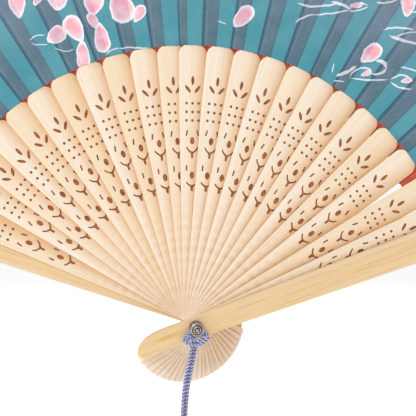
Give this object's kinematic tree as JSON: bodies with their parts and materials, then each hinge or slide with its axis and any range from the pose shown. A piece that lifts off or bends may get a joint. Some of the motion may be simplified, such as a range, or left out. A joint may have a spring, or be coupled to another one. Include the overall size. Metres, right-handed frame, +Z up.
{
  "type": "folding hand fan",
  "caption": "Folding hand fan with pierced bamboo ribs, a pleated cloth leaf, two guard sticks, a rivet and a corded tassel.",
  "frame": {"origin": "on the rivet's axis, half way through the stack of sticks, where the hand holds the fan", "axes": "+Z up the open fan's middle, +X to the right seen from the front, the front faces -Y and the rivet's axis is Y"},
  "size_m": [0.3622, 0.0327, 0.312],
  "materials": {
    "bamboo": "pale sanded bamboo, satin",
    "guard_bamboo": "golden bamboo, satin",
    "leaf_cloth": "printed plain weave, matt",
    "rivet_metal": "antique nickel, worn",
    "cord_fibre": "twisted rayon, slight sheen",
    "bead_glass": "glossy bead"
  },
  "bodies": {
    "back_guard": {"back_guard": "guard_bamboo", "pleat_00": "leaf_cloth", "pivot_pin": "rivet_metal", "rivet_cap": "rivet_metal", "pivot_washers": "rivet_metal", "cord_knot": "cord_fibre", "cord_left": "cord_fibre", "cord_right": "cord_fibre", "tassel_bead": "bead_glass", "tassel_head": "cord_fibre", "tassel_skirt": "cord_fibre"},
    "rib_01": {"rib_01": "bamboo", "pleat_01": "leaf_cloth"},
    "rib_02": {"rib_02": "bamboo", "pleat_02": "leaf_cloth"},
    "rib_03": {"rib_03": "bamboo", "pleat_03": "leaf_cloth"},
    "rib_04": {"rib_04": "bamboo", "pleat_04": "leaf_cloth"},
    "rib_05": {"rib_05": "bamboo", "pleat_05": "leaf_cloth"},
    "rib_06": {"rib_06": "bamboo", "pleat_06": "leaf_cloth"},
    "rib_07": {"rib_07": "bamboo", "pleat_07": "leaf_cloth"},
    "rib_08": {"rib_08": "bamboo", "pleat_08": "leaf_cloth"},
    "rib_09": {"rib_09": "bamboo", "pleat_09": "leaf_cloth"},
    "rib_10": {"rib_10": "bamboo", "pleat_10": "leaf_cloth"},
    "rib_11": {"rib_11": "bamboo", "pleat_11": "leaf_cloth"},
    "rib_12": {"rib_12": "bamboo", "pleat_12": "leaf_cloth"},
    "rib_13": {"rib_13": "bamboo", "pleat_13": "leaf_cloth"},
    "rib_14": {"rib_14": "bamboo", "pleat_14": "leaf_cloth"},
    "rib_15": {"rib_15": "bamboo", "pleat_15": "leaf_cloth"},
    "rib_16": {"rib_16": "bamboo", "pleat_16": "leaf_cloth"},
    "rib_17": {"rib_17": "bamboo", "pleat_17": "leaf_cloth"},
    "rib_18": {"rib_18": "bamboo", "pleat_18": "leaf_cloth"},
    "rib_19": {"rib_19": "bamboo", "pleat_19": "leaf_cloth"},
    "rib_20": {"rib_20": "bamboo", "pleat_20": "leaf_cloth"},
    "rib_21": {"rib_21": "bamboo", "pleat_21": "leaf_cloth"},
    "rib_22": {"rib_22": "bamboo", "pleat_22": "leaf_cloth"},
    "rib_23": {"rib_23": "bamboo", "pleat_23": "leaf_cloth"},
    "front_guard": {"front_guard": "guard_bamboo", "pleat_24": "leaf_cloth"}
  },
  "joints": [
    {"name": "rib_01_turn", "type": "hinge", "parent": "back_guard", "child": "rib_01", "pos_m": [0, 0, 0], "axis": [0, -1, 0], "range_deg": [0, 5.2], "deforming": ["pleat_00"]},
    {"name": "rib_02_turn", "type": "hinge", "parent": "rib_01", "child": "rib_02", "pos_m": [0, 0, 0], "axis": [0, -1, 0], "range_deg": [0, 7.3], "deforming": ["pleat_01"]},
    {"name": "rib_03_turn", "type": "hinge", "parent": "rib_02", "child": "rib_03", "pos_m": [0, 0, 0], "axis": [0, -1, 0], "range_deg": [0, 6], "deforming": ["pleat_02"]},
    {"name": "rib_04_turn", "type": "hinge", "parent": "rib_03", "child": "rib_04", "pos_m": [0, 0, 0], "axis": [0, -1, 0], "range_deg": [0, 5.8], "deforming": ["pleat_03"]},
    {"name": "rib_05_turn", "type": "hinge", "parent": "rib_04", "child": "rib_05", "pos_m": [0, 0, 0], "axis": [0, -1, 0], "range_deg": [0, 5.8], "deforming": ["pleat_04"]},
    {"name": "rib_06_turn", "type": "hinge", "parent": "rib_05", "child": "rib_06", "pos_m": [0, 0, 0], "axis": [0, -1, 0], "range_deg": [0, 5.7], "deforming": ["pleat_05"]},
    {"name": "rib_07_turn", "type": "hinge", "parent": "rib_06", "child": "rib_07", "pos_m": [0, 0, 0], "axis": [0, -1, 0], "range_deg": [0, 5.8], "deforming": ["pleat_06"]},
    {"name": "rib_08_turn", "type": "hinge", "parent": "rib_07", "child": "rib_08", "pos_m": [0, 0, 0], "axis": [0, -1, 0], "range_deg": [0, 5.9], "deforming": ["pleat_07"]},
    {"name": "rib_09_turn", "type": "hinge", "parent": "rib_08", "child": "rib_09", "pos_m": [0, 0, 0], "axis": [0, -1, 0], "range_deg": [0, 5.9], "deforming": ["pleat_08"]},
    {"name": "rib_10_turn", "type": "hinge", "parent": "rib_09", "child": "rib_10", "pos_m": [0, 0, 0], "axis": [0, -1, 0], "range_deg": [0, 5.9], "deforming": ["pleat_09"]},
    {"name": "rib_11_turn", "type": "hinge", "parent": "rib_10", "child": "rib_11", "pos_m": [0, 0, 0], "axis": [0, -1, 0], "range_deg": [0, 5.8], "deforming": ["pleat_10"]},
    {"name": "rib_12_turn", "type": "hinge", "parent": "rib_11", "child": "rib_12", "pos_m": [0, 0, 0], "axis": [0, -1, 0], "range_deg": [0, 4.6], "deforming": ["pleat_11"]},
    {"name": "rib_13_turn", "type": "hinge", "parent": "rib_12", "child": "rib_13", "pos_m": [0, 0, 0], "axis": [0, -1, 0], "range_deg": [0, 5.9], "deforming": ["pleat_12"]},
    {"name": "rib_14_turn", "type": "hinge", "parent": "rib_13", "child": "rib_14", "pos_m": [0, 0, 0], "axis": [0, -1, 0], "range_deg": [0, 5.7], "deforming": ["pleat_13"]},
    {"name": "rib_15_turn", "type": "hinge", "parent": "rib_14", "child": "rib_15", "pos_m": [0, 0, 0], "axis": [0, -1, 0], "range_deg": [0, 5.8], "deforming": ["pleat_14"]},
    {"name": "rib_16_turn", "type": "hinge", "parent": "rib_15", "child": "rib_16", "pos_m": [0, 0, 0], "axis": [0, -1, 0], "range_deg": [0, 5.9], "deforming": ["pleat_15"]},
    {"name": "rib_17_turn", "type": "hinge", "parent": "rib_16", "child": "rib_17", "pos_m": [0, 0, 0], "axis": [0, -1, 0], "range_deg": [0, 5.4], "deforming": ["pleat_16"]},
    {"name": "rib_18_turn", "type": "hinge", "parent": "rib_17", "child": "rib_18", "pos_m": [0, 0, 0], "axis": [0, -1, 0], "range_deg": [0, 5.7], "deforming": ["pleat_17"]},
    {"name": "rib_19_turn", "type": "hinge", "parent": "rib_18", "child": "rib_19", "pos_m": [0, 0, 0], "axis": [0, -1, 0], "range_deg": [0, 6.2], "deforming": ["pleat_18"]},
    {"name": "rib_20_turn", "type": "hinge", "parent": "rib_19", "child": "rib_20", "pos_m": [0, 0, 0], "axis": [0, -1, 0], "range_deg": [0, 6.2], "deforming": ["pleat_19"]},
    {"name": "rib_21_turn", "type": "hinge", "parent": "rib_20", "child": "rib_21", "pos_m": [0, 0, 0], "axis": [0, -1, 0], "range_deg": [0, 6.2], "deforming": ["pleat_20"]},
    {"name": "rib_22_turn", "type": "hinge", "parent": "rib_21", "child": "rib_22", "pos_m": [0, 0, 0], "axis": [0, -1, 0], "range_deg": [0, 7.4], "deforming": ["pleat_21"]},
    {"name": "rib_23_turn", "type": "hinge", "parent": "rib_22", "child": "rib_23", "pos_m": [0, 0, 0], "axis": [0, -1, 0], "range_deg": [0, 6.6], "deforming": ["pleat_22"]},
    {"name": "front_guard_turn", "type": "hinge", "parent": "rib_23", "child": "front_guard", "pos_m": [0, 0, 0], "axis": [0, -1, 0], "range_deg": [0, 4.1], "deforming": ["pleat_23"]}
  ],
  "couplings": [
    {"joint": "rib_02_turn", "follows": "rib_01_turn", "ratio": 1.4038},
    {"joint": "rib_03_turn", "follows": "rib_01_turn", "ratio": 1.1538},
    {"joint": "rib_04_turn", "follows": "rib_01_turn", "ratio": 1.1154},
    {"joint": "rib_05_turn", "follows": "rib_01_turn", "ratio": 1.1154},
    {"joint": "rib_06_turn", "follows": "rib_01_turn", "ratio": 1.0962},
    {"joint": "rib_07_turn", "follows": "rib_01_turn", "ratio": 1.1154},
    {"joint": "rib_08_turn", "follows": "rib_01_turn", "ratio": 1.1346},
    {"joint": "rib_09_turn", "follows": "rib_01_turn", "ratio": 1.1346},
    {"joint": "rib_10_turn", "follows": "rib_01_turn", "ratio": 1.1346},
    {"joint": "rib_11_turn", "follows": "rib_01_turn", "ratio": 1.1154},
    {"joint": "rib_12_turn", "follows": "rib_01_turn", "ratio": 0.88462},
    {"joint": "rib_13_turn", "follows": "rib_01_turn", "ratio": 1.1346},
    {"joint": "rib_14_turn", "follows": "rib_01_turn", "ratio": 1.0962},
    {"joint": "rib_15_turn", "follows": "rib_01_turn", "ratio": 1.1154},
    {"joint": "rib_16_turn", "follows": "rib_01_turn", "ratio": 1.1346},
    {"joint": "rib_17_turn", "follows": "rib_01_turn", "ratio": 1.0385},
    {"joint": "rib_18_turn", "follows": "rib_01_turn", "ratio": 1.0962},
    {"joint": "rib_19_turn", "follows": "rib_01_turn", "ratio": 1.1923},
    {"joint": "rib_20_turn", "follows": "rib_01_turn", "ratio": 1.1923},
    {"joint": "rib_21_turn", "follows": "rib_01_turn", "ratio": 1.1923},
    {"joint": "rib_22_turn", "follows": "rib_01_turn", "ratio": 1.4231},
    {"joint": "rib_23_turn", "follows": "rib_01_turn", "ratio": 1.2692},
    {"joint": "front_guard_turn", "follows": "rib_01_turn", "ratio": 0.78846}
  ]
}
